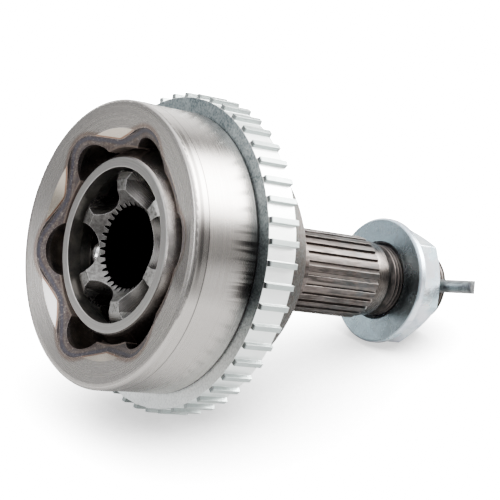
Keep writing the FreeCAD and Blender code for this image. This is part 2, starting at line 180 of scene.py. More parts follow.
# Wear and dirt of handled steel: broad clouds, small specks and scratches
def buildWear():
    outputs = {"Broad": number, "Specks": number, "Scratches": number, "Grain": number}
    tree, given, out = newGroup("wear", {"Size": 1.0, "Specks": 0.5}, outputs)
    spot = useGroup(tree, "places")
    sized = {0: spot["Point"], "Scale": given["Size"]}
    point = put(tree, "ShaderNodeVectorMath", sized, operation="SCALE").outputs[0]
    broad = ease(tree, cloud(tree, point, 0.11, 4.0, 0.6, 0.4), 0.34, 0.68)
    limit = calc(tree, "SUBTRACT", 0.82, both(tree, given["Specks"], 0.3))
    specks = ease(tree, cloud(tree, point, 1.3, 4.0, 0.75), limit, calc(tree, "ADD", limit, 0.09))
    slanted = scaled(tree, point, (0.35, 2.2, 0.9))
    hair = calc(tree, "ABSOLUTE", calc(tree, "SUBTRACT", cloud(tree, slanted, 0.5, 3.0, 0.6, 1.2), 0.5))
    scratches = ease(tree, hair, 0.004, 0.016, 1.0, 0.0)
    grain = cloud(tree, point, 3.2, 4.0, 0.7)
    for index, result in enumerate([broad, specks, scratches, grain]):
        tree.links.new(result, out[index])


# Distance in millimetres from the lobed edge of the mouth, less than nothing inside
# it. The six lobes are folded into one; past the lobe's arc its straight flank counts.
mouth = {"lobes": 6, "firstLobe": 30.0, "centre": 28.2, "radius": 10.1, "land": 32.4}


def buildLobeEdge(shape):
    tree, _, out = newGroup("lobeEdge", {}, {"Distance": number})
    spot = useGroup(tree, "places")
    turn = calc(tree, "ARCTAN2", spot["Top"], spot["Side"])
    half = math.pi / shape["lobes"]
    folded = calc(tree, "SUBTRACT", turn, math.radians(shape["firstLobe"]))
    folded = calc(tree, "PINGPONG", folded, half)
    ahead = both(tree, spot["Radius"], calc(tree, "COSINE", folded))
    aside = both(tree, spot["Radius"], calc(tree, "SINE", folded))
    away = calc(tree, "SUBTRACT", ahead, shape["centre"])
    reach = calc(tree, "SQRT", calc(tree, "MULTIPLY_ADD", away, away, both(tree, aside, aside)))
    arc = calc(tree, "SUBTRACT", reach, shape["radius"])
    landAside = shape["land"] * math.sin(half)
    landOut = shape["land"] * math.cos(half) - shape["centre"]
    touch = math.atan2(landAside, landOut) - math.acos(shape["radius"] / math.hypot(landAside, landOut))
    outward, sideways = math.cos(touch), math.sin(touch)
    flank = calc(tree, "MULTIPLY_ADD", aside, sideways, both(tree, away, outward))
    flank = calc(tree, "SUBTRACT", flank, shape["radius"])
    past = calc(tree, "SUBTRACT", both(tree, aside, outward), both(tree, away, sideways))
    tree.links.new(mixValue(tree, above(tree, past, 0.0), arc, flank), out[0])


buildPlaces()
buildBetween()
buildToolMarks()
buildWear()
buildLobeEdge(mouth)
print("shared effects ready")


def between(tree, value, low, high, soft):
    return useGroup(tree, "between", {"Value": value, "Low": low, "High": high, "Soft": soft})["Mask"]


def towards(tree, spot, angle, low, high):
    # mask that grows towards an angle round the axis; low and high are cosines off it
    turn = math.radians(angle)
    upward = both(tree, spot["Top"], math.sin(turn))
    return ease(tree, calc(tree, "MULTIPLY_ADD", spot["Side"], math.cos(turn), upward), low, high)


# Edges of every piece, as edge wear and a painted highlight: the cosine between the
# rounded normal and the surface's own goes from fully worn and lit to not worn
edges = {"samples": 6, "wornAndLit": 0.84, "whole": 0.97}


def softCorner(tree, width):
    # normal that is rounded over edges by the given width
    return put(tree, "ShaderNodeBevel", {"Radius": width * mm}, samples=edges["samples"]).outputs[0]


def wornAndLitEdge(tree, corner):
    # mask of the edges, where the rounded normal leaves the surface's own: edge wear and a painted highlight
    own = put(tree, "ShaderNodeNewGeometry").outputs["Normal"]
    return ease(tree, likeness(tree, corner, own), edges["wornAndLit"], edges["whole"], 1.0, 0.0)


def relief(tree, height, depth, corner=None):
    # bumps of the given depth, on top of the rounded edges where there are any
    values = {"Height": height, "Distance": depth * mm}
    if corner is not None:
        values["Normal"] = corner
    return put(tree, "ShaderNodeBump", values).outputs[0]


def newMetal(name):
    made = bpy.data.materials.new(name)
    made.use_nodes = True
    tree = made.node_tree
    shader = tree.nodes["Principled BSDF"]
    shader.inputs["Metallic"].default_value = 1.0
    return made, tree, shader, useGroup(tree, "places")


def cover(tree, shader, colour, roughness, normal):
    fill(tree, shader, {"Base Color": colour, "Roughness": roughness, "Normal": normal})


# Outer race: ground cup, forged mouth, dark tracks, rolled splines. Places are in
# millimetres along the axis or, where they end in Out, out from it, and where they end
# in Edge, out from the lobed edge. Those that end in Towards are an angle round the
# axis and two cosines off it.
outerRace = {
    "ground": (0.43, 0.41, 0.39, 1),
    "groundWarm": (0.40, 0.365, 0.335, 1),
    "scratch": (0.6, 0.58, 0.56, 1),
    "heatBrown": (0.17, 0.085, 0.05, 1),
    "heatBlue": (0.062, 0.064, 0.082, 1),
    # scale: the dark of the painted reflection and of the painted shade lines
    "scale": (0.020, 0.018, 0.018, 1),
    "band": (0.07, 0.06, 0.06, 1),
    "bandWarm": (0.07, 0.053, 0.047, 1),
    "lens": (0.45, 0.40, 0.335, 1),
    "lensHighlight": (0.85, 0.82, 0.79, 1),
    "land": (0.17, 0.135, 0.115, 1),
    "landPale": (0.40, 0.35, 0.31, 1),
    "track": (0.035, 0.031, 0.03, 1),
    "trackBrown": (0.10, 0.075, 0.058, 1),
    "back": (0.036, 0.042, 0.042, 1),
    "backBrown": (0.060, 0.050, 0.044, 1),
    "backPale": (0.05, 0.066, 0.064, 1),
    "backEdge": (0.16, 0.12, 0.105, 1),
    "spline": (0.045, 0.038, 0.034, 1),
    "splinePink": (0.135, 0.112, 0.104, 1),
    "splineRootLightened": (0.19, 0.162, 0.148, 1),
    "splineStain": (0.075, 0.084, 0.087, 1),
    "seatLand": (0.14, 0.125, 0.115, 1),
    "thread": (0.022, 0.021, 0.02, 1),
    "wornAndLit": (0.50, 0.46, 0.43, 1),
    "mouthBack": -14.0,
    "sideFront": -21.2,
    "sideBack": 2.5,
    "lipBack": -16.3,
    "lipEdge": (-19.6, -18.3),
    "step": (-16.55, -15.95),
    "gap": (1.75, 2.6),
    "sideOut": 43.0,
    "lensPlace": (-20.6, -17.9),
    "lensOut": (32.6, 35.55),
    "lensEdge": 0.15,
    "lensRimEdge": (0.0, 0.5),
    "heatEdge": (-0.5, 1.25),
    "bandEdge": 0.05,
    "blueEdge": (-1.3, -0.3),
    "highlightLineEdge": (-2.3, -1.5),
    "cavity": (-16.7, 29.0),
    "cavityOut": 39.5,
    "landPlace": (-17.4, -11.6),
    "landOut": (29.6, 30.75),
    "skin": (12.6, 60.0),
    "skinOut": 14.6,
    "paleBack": (15.0, 22.0),
    "neck": (35.0, 41.5),
    "stub": (41.0, 81.9),
    "ridgeOut": (12.9, 13.75),
    "stained": (52.0, 74.0),
    "seat": (81.7, 87.5),
    "threadFront": 87.3,
    "darkReflectionTowards": (158, 0.948, 0.988),
    "lipShadeTowards": (134, 0.78, 0.92),
    "lensHighlightTowards": (300, 0.75, 1.0),
    "splineShadeTowards": (128, 0.80, 0.99),
    "streakShape": (0.05, 1.0, 1.0),
    "streakLength": 5.0,
    "drawnShape": (0.16, 1.0, 1.0),
    "darkReflectionPlace": (-5.0, 4.5),
    "darkReflection": (0.32, 0.98),
    "darkReflectionLip": 0.62,
    "heat": 0.55,
    "groundRough": (0.235, 0.285),
    "bandRough": 0.46,
    "trackRough": (0.30, 0.48),
    "landRough": 0.6,
    "skinRough": (0.62, 0.40),
    "splineRough": (0.46, 0.34),
    "threadRough": 0.32,
    "drawnOut": 0.75,
    "drawnTurn": 0.25,
    "markDepth": 0.007,
    "grainDepth": 0.10,
    "edge": 0.22,
}


def forgedSteel(look):
    made, tree, shader, spot = newMetal("forgedSteel")
    along, radius = spot["Along"], spot["Radius"]
    marks = useGroup(tree, "toolMarks", {"Fineness": 3.5, "Length": 1.6})
    wear = useGroup(tree, "wear", {"Size": 1.0, "Specks": 0.35})
    fine = useGroup(tree, "wear", {"Size": 2.1, "Specks": 0.75})
    edge = useGroup(tree, "lobeEdge")["Distance"]

    # ground outside and front face, with heat tints that follow the lobed edge
    colour = paint(tree, look["ground"], look["groundWarm"], marks["Tone"], 0.35)
    colour = paint(tree, colour, look["scratch"], wear["Scratches"], 0.10)
    roughness = mixValue(tree, marks["Tone"], *look["groundRough"])
    wavy = calc(tree, "MULTIPLY_ADD", wear["Grain"], 0.5, calc(tree, "SUBTRACT", edge, 0.25))
    front = below(tree, along, look["mouthBack"])
    tint = both(tree, between(tree, wavy, *look["heatEdge"], 1.3), front)
    colour = paint(tree, colour, look["heatBrown"], tint, look["heat"])

    # painted dark reflection on one side of the cup's side, in streaks that grow towards the ring
    streaks = cloud(tree, scaled(tree, spot["Point"], look["streakShape"]), 0.55, 3.0, 0.6)
    streaks = ease(tree, streaks, 0.40, 0.60)
    reachBack = calc(tree, "MULTIPLY_ADD", streaks, look["streakLength"], along)
    darkReflection = mixValue(tree, ease(tree, reachBack, *look["darkReflectionPlace"]), *look["darkReflection"])
    darkReflection = mixValue(tree, below(tree, along, look["lipBack"]), darkReflection, look["darkReflectionLip"])
    darkReflection = both(tree, darkReflection, towards(tree, spot, *look["darkReflectionTowards"]))
    darkReflection = both(tree, darkReflection, between(tree, along, look["sideFront"], look["sideBack"], 0.1))
    colour = paint(tree, colour, look["scale"], darkReflection)

    # painted shade lines at the lip's edge on one side, in the step behind the lip and in the gap before the
    # ring
    lipLine = both(tree, towards(tree, spot, *look["lipShadeTowards"]), 0.6)
    lipLine = both(tree, between(tree, along, *look["lipEdge"], 0.7), lipLine)
    stepLine = both(tree, between(tree, along, *look["step"], 0.3), 0.75)
    gapLine = both(tree, between(tree, along, *look["gap"], 0.3), 0.9)
    seam = both(tree, strongest(tree, lipLine, stepLine, gapLine), above(tree, radius, look["sideOut"]))
    colour = paint(tree, colour, look["scale"], seam)

    # bevel of the lands, between the lobes, with a painted highlight towards one side
    lens = between(tree, radius, *look["lensOut"], 0.25)
    lens = both(tree, lens, between(tree, along, *look["lensPlace"], 0.2))
    lens = both(tree, lens, above(tree, edge, look["lensEdge"]))
    lensColour = paint(tree, look["lens"], look["lensHighlight"], towards(tree, spot, *look["lensHighlightTowards"]))
    colour = paint(tree, colour, lensColour, lens)
    lensRim = both(tree, between(tree, edge, *look["lensRimEdge"], 0.4), lens)
    colour = paint(tree, colour, look["heatBrown"], lensRim)

    # forged band inside the lobed edge, blue at its rim, with a painted highlight line along it
    inner = both(tree, front, below(tree, edge, look["bandEdge"]))
    speckle = cloud(tree, spot["Point"], 1.9, 3.0, 0.7)
    highlightLine = both(tree, between(tree, edge, *look["highlightLineEdge"], 0.8), ease(tree, speckle, 0.3, 0.6))
    band = paint(tree, look["band"], look["bandWarm"], fine["Broad"])
    band = paint(tree, band, look["landPale"], highlightLine, 0.16)
    band = paint(tree, band, look["heatBlue"], between(tree, edge, *look["blueEdge"], 0.6), 0.7)
    band = paint(tree, band, look["landPale"], ease(tree, speckle, 0.56, 0.72), 0.55)
    band = paint(tree, band, look["track"], ease(tree, speckle, 0.46, 0.30), 0.6)
    colour = paint(tree, colour, band, inner)
    roughness = mixValue(tree, inner, roughness, look["bandRough"])

    # lands below the band, and the tracks and ball seat of the cup, painted dark
    inside = both(tree, below(tree, radius, look["cavityOut"]), between(tree, along, *look["cavity"], 0.3))
    dark = paint(tree, look["track"], look["trackBrown"], wear["Broad"], 0.7)
    dark = paint(tree, dark, look["landPale"], fine["Specks"], 0.5)
    colour = paint(tree, colour, dark, inside)
    land = between(tree, radius, *look["landOut"], 0.3)
    land = both(tree, land, between(tree, along, *look["landPlace"], 0.5))
    forged = paint(tree, look["land"], look["landPale"], fine["Specks"])
    forged = paint(tree, forged, look["bandWarm"], fine["Broad"], 0.4)
    colour = paint(tree, colour, forged, land)
    roughness = mixValue(tree, inside, roughness, mixValue(tree, wear["Broad"], *look["trackRough"]))
    roughness = mixValue(tree, land, roughness, look["landRough"])

    # back of the cup, in its forging skin, greener beside the ring and brown at the neck
    skin = both(tree, between(tree, along, *look["skin"], 0.4), above(tree, radius, look["skinOut"]))
    pebble = cloud(tree, spot["Point"], 0.75, 5.0, 0.68)
    back = paint(tree, look["backBrown"], look["back"], ease(tree, pebble, 0.38, 0.60))
    back = paint(tree, back, look["backBrown"], wear["Broad"], 0.5)
    back = paint(tree, back, look["backPale"], ease(tree, along, *look["paleBack"], 0.75, 0.0))
    back = paint(tree, back, look["backEdge"], between(tree, along, *look["neck"], 6.0), 0.8)
    back = paint(tree, back, look["landPale"], ease(tree, pebble, 0.66, 0.76), 0.5)
    back = paint(tree, back, look["landPale"], wear["Scratches"], 0.25)
    colour = paint(tree, colour, back, skin)
    skinRough = mixValue(tree, ease(tree, pebble, 0.35, 0.65), *look["skinRough"])
    roughness = mixValue(tree, skin, roughness, skinRough)

    # stub and splines, rolled and handled: brown roots painted lighter than the tops to make up
    # for their shade, pinkish rubbed tops, stained towards the nut, painted shade on one side
    stub = between(tree, along, *look["stub"], 0.3)
    drawn = scaled(tree, spot["Point"], look["drawnShape"])
    streak = ease(tree, cloud(tree, drawn, 0.9, 4.0, 0.65, 0.3), 0.38, 0.66)
    rubbed = paint(tree, look["spline"], look["splinePink"], streak)
    spline = paint(tree, look["splineRootLightened"], rubbed, ease(tree, radius, *look["ridgeOut"]))
    spline = paint(tree, spline, look["splineRootLightened"], fine["Specks"], 0.4)
    stain = both(tree, ease(tree, along, *look["stained"], 0.1, 0.75), fine["Broad"])
    spline = paint(tree, spline, look["splineStain"], stain)
    # painted shade on one side of the splines
    spline = paint(tree, spline, look["spline"], towards(tree, spot, *look["splineShadeTowards"]), 0.5)
    colour = paint(tree, colour, spline, stub)
    roughness = mixValue(tree, stub, roughness, mixValue(tree, streak, *look["splineRough"]))
    seatColour = paint(tree, look["seatLand"], look["spline"], wear["Broad"])
    colour = paint(tree, colour, seatColour, between(tree, along, *look["seat"], 0.2))
    # the thread painted near black: painted shade over the thread and its relief
    threaded = above(tree, along, look["threadFront"])
    colour = paint(tree, colour, look["thread"], threaded)
    roughness = mixValue(tree, threaded, roughness, look["threadRough"])

    # relief: fine turned lines where it is ground, forging grain elsewhere
    forge = calc(tree, "ADD", calc(tree, "ADD", inner, land), skin)
    forge = strongest(tree, calc(tree, "MINIMUM", forge, 1.0), both(tree, stub, 0.35))
    turned = both(tree, marks["Height"], look["markDepth"] / look["grainDepth"])
    height = mixValue(tree, forge, turned, mixValue(tree, skin, fine["Grain"], pebble))
    corner = softCorner(tree, look["edge"])
    # edges painted lighter: edge wear and a painted highlight
    wornAndLit = both(tree, wornAndLitEdge(tree, corner), strongest(tree, inner, inside, both(tree, stub, 0.5)))
    colour = paint(tree, colour, look["wornAndLit"], both(tree, wornAndLit, mixValue(tree, wear["Broad"], 0.35, 0.8)))
    cover(tree, shader, colour, roughness, relief(tree, height, look["grainDepth"], corner))

    # the turned lines draw each reflection out round the axis
    tangent = put(tree, "ShaderNodeTangent", direction_type="RADIAL", axis="X").outputs[0]
    drawnOut = {"Anisotropic": look["drawnOut"], "Anisotropic Rotation": look["drawnTurn"]}
    fill(tree, shader, drawnOut | {"Tangent": tangent})
    return made


# Sensor ring: zinc plated, cloudy, with paler rubbed teeth, a painted highlight at the
# bottom and a painted dark reflection beside the cup's darkened side
sensorRing = {
    "zinc": (0.36, 0.41, 0.42, 1),
    "zincDark": (0.085, 0.11, 0.12, 1),
    "toothEnd": (0.04, 0.048, 0.05, 1),
    "rubbed": (0.42, 0.47, 0.46, 1),
    "bright": (0.93, 0.96, 0.95, 1),
    "toothOut": (48.4, 49.0),
    "floorOut": (48.6, 48.72),
    "endOut": 48.8,
    "endPlace": 2.75,
    "highlightTowards": (250, 0.1, 0.9),
    "reflectedShadeTowards": (166, 0.965, 0.996),
    "shadeTowards": (150, 0.2, 0.9),
    "rough": (0.42, 0.30),
    "edge": 0.18,
    "grainDepth": 0.05,
}


def ringSteel(look):
    made, tree, shader, spot = newMetal("ringSteel")
    radius = spot["Radius"]
    wear = useGroup(tree, "wear", {"Size": 1.5, "Specks": 0.6})
    fine = useGroup(tree, "wear", {"Size": 4.0, "Specks": 0.6})
    spangle = ease(tree, cloud(tree, spot["Point"], 1.3, 4.0, 0.75), 0.38, 0.62)
    cloudy = mixValue(tree, 0.6, wear["Broad"], spangle)
    colour = paint(tree, look["zincDark"], look["zinc"], cloudy)
    colour = paint(tree, colour, look["zincDark"], fine["Specks"], 0.6)
    tooth = ease(tree, radius, *look["toothOut"])
    colour = paint(tree, colour, look["rubbed"], tooth, 0.8)
    front = outside(tree, tooth)
    # painted highlight on the lower part of the front face
    low = both(tree, towards(tree, spot, *look["highlightTowards"]), front)
    colour = paint(tree, colour, look["bright"], low, mixValue(tree, spangle, 0.75, 1.0))
    # painted dark reflection beside the cup's darkened side
    reflectedShade = both(tree, towards(tree, spot, *look["reflectedShadeTowards"]), front)
    colour = paint(tree, colour, look["toothEnd"], reflectedShade, 0.35)
    # floors between the teeth painted near white: painted highlight
    colour = paint(tree, colour, look["bright"], between(tree, radius, *look["floorOut"], 0.05))
    colour = paint(tree, colour, look["zincDark"], fine["Specks"], 0.35)
    # painted shadow at the teeth's front ends, deeper on one side
    ends = both(tree, above(tree, radius, look["endOut"]), below(tree, spot["Along"], look["endPlace"]))
    shaded = mixValue(tree, towards(tree, spot, *look["shadeTowards"]), 0.25, 0.8)
    colour = paint(tree, colour, look["toothEnd"], ends, shaded)
    corner = softCorner(tree, look["edge"])
    # edges painted near white: edge wear and a painted highlight
    colour = paint(tree, colour, look["bright"], wornAndLitEdge(tree, corner), 0.5)
    normal = relief(tree, fine["Grain"], look["grainDepth"], corner)
    cover(tree, shader, colour, mixValue(tree, cloudy, *look["rough"]), normal)
    return made


# Cage: ground rim, polished outer ball painted lit on one side and shaded on the other, dark inside
cage = {
    "rim": (0.33, 0.32, 0.31, 1),
    "rimFine": (0.27, 0.262, 0.253, 1),
    "outside": (0.48, 0.445, 0.42, 1),
    "outsideShaded": (0.055, 0.048, 0.044, 1),
    "inside": (0.22, 0.205, 0.19, 1),
    "insideDark": (0.11, 0.105, 0.10, 1),
    "wornAndLit": (0.66, 0.64, 0.62, 1),
    "rimBack": -18.25,
    "ballRadius": 32.3,
    "highlightTowards": (125, 0.45, 0.9),
    "rimRough": (0.3, 0.4),
    "insideRough": 0.34,
    "outsideRough": 0.22,
    "edge": 0.4,
    "markDepth": 0.01,
}


def cageSteel(look):
    made, tree, shader, spot = newMetal("cageSteel")
    marks = useGroup(tree, "toolMarks", {"Fineness": 4.0, "Length": 1.2})
    wear = useGroup(tree, "wear", {"Size": 1.2, "Specks": 0.4})
    rim = below(tree, spot["Along"], look["rimBack"])
    outer = both(tree, above(tree, length(tree, spot["Point"]), look["ballRadius"]), outside(tree, rim))
    # painted light and shade on the outer ball, by the angle round the axis
    lit = both(tree, towards(tree, spot, *look["highlightTowards"]), mixValue(tree, wear["Broad"], 1.0, 0.6))
    ball = paint(tree, look["outsideShaded"], look["outside"], lit)
    colour = paint(tree, look["inside"], look["insideDark"], wear["Broad"])
    colour = paint(tree, colour, ball, outer)
    colour = paint(tree, colour, look["outside"], wear["Specks"], 0.3)
    colour = paint(tree, colour, paint(tree, look["rim"], look["rimFine"], marks["Tone"]), rim)
    roughness = mixValue(tree, outer, look["insideRough"], look["outsideRough"])
    roughness = mixValue(tree, rim, roughness, mixValue(tree, marks["Tone"], *look["rimRough"]))
    corner = softCorner(tree, look["edge"])
    # edges painted lighter: edge wear and a painted highlight
    colour = paint(tree, colour, look["wornAndLit"], wornAndLitEdge(tree, corner), 0.75)
    cover(tree, shader, colour, roughness, relief(tree, marks["Height"], look["markDepth"], corner))
    return made


# Inner race: matt hardened faces, dark grooves, splined bore painted black as shade.
# The countersink lies where the place along the axis and the radius add up to the sink values.
innerRace = {
    "face": (0.20, 0.196, 0.19, 1),
    "faceDark": (0.085, 0.082, 0.078, 1),
    "greaseAndShade": (0.028, 0.026, 0.025, 1),
    "bevel": (0.27, 0.265, 0.255, 1),
    "groove": (0.11, 0.105, 0.10, 1),
    "bore": (0.012, 0.012, 0.013, 1),
    "wornAndLit": (0.58, 0.57, 0.56, 1),
    "frontFace": -16.35,
    "backFace": 12.45,
    "sink": (0.4, 1.0),
    "sinkBack": -12.0,
    "ballRadius": 26.9,
    "bevelPlace": 11.3,
    "bevelOut": 20.45,
    "boreOut": 14.15,
    "shadeTowards": (305, 0.5, 0.9),
    "mirroredShadeTowards": (25, 0.5, 0.9),
    "grooveRough": (0.24, 0.34),
    "faceRough": 0.36,
    "edge": 0.25,
    "grainDepth": 0.05,
}


def raceSteel(look):
    made, tree, shader, spot = newMetal("raceSteel")
    along, radius = spot["Along"], spot["Radius"]
    wear = useGroup(tree, "wear", {"Size": 1.6, "Specks": 0.5})
    marks = useGroup(tree, "toolMarks", {"Fineness": 3.0, "Length": 1.2})
    front = below(tree, along, look["frontFace"])
    sink = between(tree, calc(tree, "ADD", along, radius), *look["sink"], 0.1)
    sink = both(tree, sink, below(tree, along, look["sinkBack"]))
    face = strongest(tree, front, sink, above(tree, along, look["backFace"]))
    limb = above(tree, length(tree, spot["Point"]), look["ballRadius"])
    bevel = above(tree, calc(tree, "ABSOLUTE", along), look["bevelPlace"])
    bevel = both(tree, bevel, above(tree, radius, look["bevelOut"]))
    colour = paint(tree, look["groove"], look["bevel"], limb)
    colour = paint(tree, colour, look["bevel"], bevel)
    mottle = ease(tree, cloud(tree, spot["Point"], 0.9, 4.0, 0.7), 0.36, 0.62)
    grey = paint(tree, look["faceDark"], look["face"], mottle)
    grey = paint(tree, grey, look["bevel"], front, mottle)
    # painted shade on one side of the faces, and on another a painted dark reflection of uneven strength;
    # grease in specks
    grey = paint(tree, grey, look["faceDark"], towards(tree, spot, *look["shadeTowards"]), 0.35)
    film = mixValue(tree, wear["Broad"], 0.72, 0.5)
    grey = paint(tree, grey, look["greaseAndShade"], towards(tree, spot, *look["mirroredShadeTowards"]), film)
    colour = paint(tree, colour, grey, face)
    colour = paint(tree, colour, look["greaseAndShade"], wear["Specks"], 0.6)
    # the bore painted near black: painted shade
    bore = both(tree, below(tree, radius, look["boreOut"]), outside(tree, face))
    colour = paint(tree, colour, look["bore"], bore)
    roughness = mixValue(tree, face, mixValue(tree, marks["Tone"], *look["grooveRough"]), look["faceRough"])
    corner = softCorner(tree, look["edge"])
    # edges painted lighter, less in the bore: edge wear and a painted highlight
    wornAndLit = calc(tree, "SUBTRACT", 0.8, both(tree, bore, 0.75))
    colour = paint(tree, colour, look["wornAndLit"], wornAndLitEdge(tree, corner), wornAndLit)
    cover(tree, shader, colour, roughness, relief(tree, wear["Grain"], look["grainDepth"], corner))
    return made


# Balls: polished bearing steel with a thin film of oil
balls = {
    "steel": (0.86, 0.86, 0.87, 1),
    "smear": (0.62, 0.60, 0.58, 1),
    "rough": (0.02, 0.08),
    "markDepth": 0.003,
}


def ballSteel(look):
    made, tree, shader, _ = newMetal("ballSteel")
    wear = useGroup(tree, "wear", {"Size": 1.4, "Specks": 0.3})
    colour = paint(tree, look["steel"], look["smear"], wear["Broad"], 0.6)
    height = calc(tree, "ADD", wear["Grain"], wear["Scratches"])
    roughness = mixValue(tree, wear["Broad"], *look["rough"])
    cover(tree, shader, colour, roughness, relief(tree, height, look["markDepth"]))
    return made


# Hub nut: bright zinc plate with a faint play of colour, and painted shade on one side of its pressed face
hubNut = {
    "zinc": (0.85, 0.90, 0.94, 1),
    "zincBlue": (0.42, 0.57, 0.64, 1),
    "mottle": (0.33, 0.39, 0.43, 1),
    "violet": (0.62, 0.60, 0.74, 1),
    # stain: the colour of the painted shade on the pressed face
    "stain": (0.19, 0.205, 0.21, 1),
    "wornAndLit": (0.93, 0.94, 0.96, 1),
    "pressedFace": 93.2,
    "shadeSideTowards": (165, -0.1, 0.9),
    "rough": (0.18, 0.30),
    "edge": 0.3,
    "grainDepth": 0.03,
}


def nutZinc(look):
    made, tree, shader, spot = newMetal("nutZinc")
    wear = useGroup(tree, "wear", {"Size": 1.5, "Specks": 0.55})
    marks = useGroup(tree, "toolMarks", {"Fineness": 2.5, "Length": 1.0})
    shift = ease(tree, cloud(tree, spot["Point"], 0.05, 2.0, 0.5, 1.0), 0.4, 0.6)
    colour = paint(tree, look["zinc"], look["zincBlue"], wear["Broad"])
    colour = paint(tree, colour, look["violet"], shift, 0.4)
    cloudy = strongest(tree, wear["Specks"], both(tree, wear["Broad"], 0.7))
    # painted shade on one side of the pressed face, uneven in strength
    stain = both(tree, towards(tree, spot, *look["shadeSideTowards"]), mixValue(tree, wear["Specks"], 0.45, 0.25))
    mottled = paint(tree, look["zincBlue"], look["mottle"], cloudy)
    mottled = paint(tree, mottled, look["stain"], stain)
    colour = paint(tree, colour, mottled, below(tree, spot["Along"], look["pressedFace"]), 0.9)
    height = calc(tree, "ADD", wear["Grain"], both(tree, marks["Height"], 0.5))
    corner = softCorner(tree, look["edge"])
    # edges painted lighter: edge wear and a painted highlight
    colour = paint(tree, colour, look["wornAndLit"], wornAndLitEdge(tree, corner), 0.6)
    normal = relief(tree, height, look["grainDepth"], corner)
    cover(tree, shader, colour, mixValue(tree, wear["Broad"], *look["rough"]), normal)
    return made


# Split pin: drawn wire, grey with broad darker patches
splitPin = {
    "wire": (0.19, 0.215, 0.215, 1),
    "dark": (0.07, 0.07, 0.075, 1),
    "scratch": (0.6, 0.6, 0.58, 1),
    "rough": (0.33, 0.46),
    "edge": 0.15,
    "grainDepth": 0.05,
}


def pinSteel(look):
    made, tree, shader, _ = newMetal("pinSteel")
    wear = useGroup(tree, "wear", {"Size": 2.5, "Specks": 0.5})
    colour = paint(tree, look["wire"], look["dark"], wear["Broad"])
    colour = paint(tree, colour, look["scratch"], wear["Scratches"], 0.4)
    normal = relief(tree, wear["Grain"], look["grainDepth"], softCorner(tree, look["edge"]))
    cover(tree, shader, colour, mixValue(tree, wear["Broad"], *look["rough"]), normal)
    return made


finishes = {
    "outer_race": forgedSteel(outerRace),
    "abs_ring": ringSteel(sensorRing),
    "cage": cageSteel(cage),
    "inner_race": raceSteel(innerRace),
    "axle_nut": nutZinc(hubNut),
    "split_pin": pinSteel(splitPin),
}
ballFinish = ballSteel(balls)
for name, node in nodes.items():
    finish = finishes.get(name, ballFinish)
    if not node.material_slots:
        node.data.materials.append(finish)
    for place in node.material_slots:
        place.material = finish
print("finishes on", len(nodes), "nodes")


# Thread of the stub: ridges that the plain core leaves out, in millimetres
thread = {
    "start": 89.3,
    "end": 115.4,
    "startInset": 0.15,
    "endInset": 0.02,
    "core": 11.6,
    "crest": 12.0,
    "rootSunk": 0.08,
    "pitch": 1.5,
    "flankSlope": 1.35,
    "flatRoot": 0.12,
    "relief": 10.7,
    "reliefSlope": 1.3,
    "bevel": 0.9,
    "pinPlace": 110.4,
    "pinTurn": 63.3,
    "pinHole": 2.45,
    "holeFade": (0.25, 0.75),
    "holeSunk": 0.15,
    "holeOpen": 0.12,
    "stepsAlong": 210,
    "stepsRound": 144,
    "crestOut": (11.82, 11.98),
    "highlightTowards": (110, 0.0, 0.8),
    "rough": (0.5, 0.3),
    "grainDepth": 0.03,
}


def tubeFromGrid(name, points, keep):
    # points: rows x columns x 3, faces between neighbours, the last column joined to
    # the first; keep says which faces stay
    rows, columns = points.shape[:2]
    current = np.arange(rows * columns).reshape(rows, columns)
    following = np.roll(current, -1, axis=1)
    faces = np.stack([current[:-1], following[:-1], following[1:], current[1:]], axis=-1)[keep]
    mesh = bpy.data.meshes.new(name)
    mesh.from_pydata(points.reshape(-1, 3).tolist(), [], faces.tolist())
    mesh.validate()
    mesh.shade_smooth()
    piece = bpy.data.objects.new(name, mesh)
    bpy.context.scene.collection.objects.link(piece)
    return piece


def buildThread(look):
    # radius = core + ridge(phase), where phase = place / pitch - turn / full turn and
    # the ridge is a triangle wave with flattened crests; both ends are bevelled, and
    # round the pin's hole the ridges sink into the core and the faces are left out
    first, last = look["start"] + look["startInset"], look["end"] - look["endInset"]
    place = np.linspace(first, last, look["stepsAlong"])[:, None]
    turn = np.linspace(0, 2 * math.pi, look["stepsRound"], endpoint=False)[None, :]
    phase = (place - look["start"]) / look["pitch"] - turn / (2 * math.pi)
    wave = 1 - np.abs(2 * (phase - np.floor(phase)) - 1)
    ridge = np.clip(wave * look["flankSlope"] - look["flatRoot"], 0, 1)
    height = look["crest"] - look["core"]
    radius = look["core"] - look["rootSunk"] + (height + look["rootSunk"]) * ridge
    fromStart = look["relief"] + (place - look["start"]) * look["reliefSlope"]
    fromEnd = look["crest"] - look["bevel"] + (look["end"] - place)
    radius = np.minimum(radius, np.minimum(fromStart, fromEnd))
    across = math.radians(look["pinTurn"] - 90)
    side = look["core"] * (np.cos(turn) * math.cos(across) + np.sin(turn) * math.sin(across))
    hole = np.hypot(place - look["pinPlace"], side) - look["pinHole"]
    near, far = look["holeFade"]
    sink = np.clip((hole - near) / (far - near), 0, 1)
    radius = (look["core"] - look["holeSunk"]) * (1 - sink) + radius * sink
    points = np.stack([place + 0 * turn, radius * np.cos(turn), radius * np.sin(turn)], axis=-1) * mm
    pairs = hole + np.roll(hole, -1, axis=1)
    middle = (pairs[:-1] + pairs[1:]) / 4
    piece = tubeFromGrid("stubThread", points, middle > look["holeOpen"])
    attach(piece, "cup")
    return piece


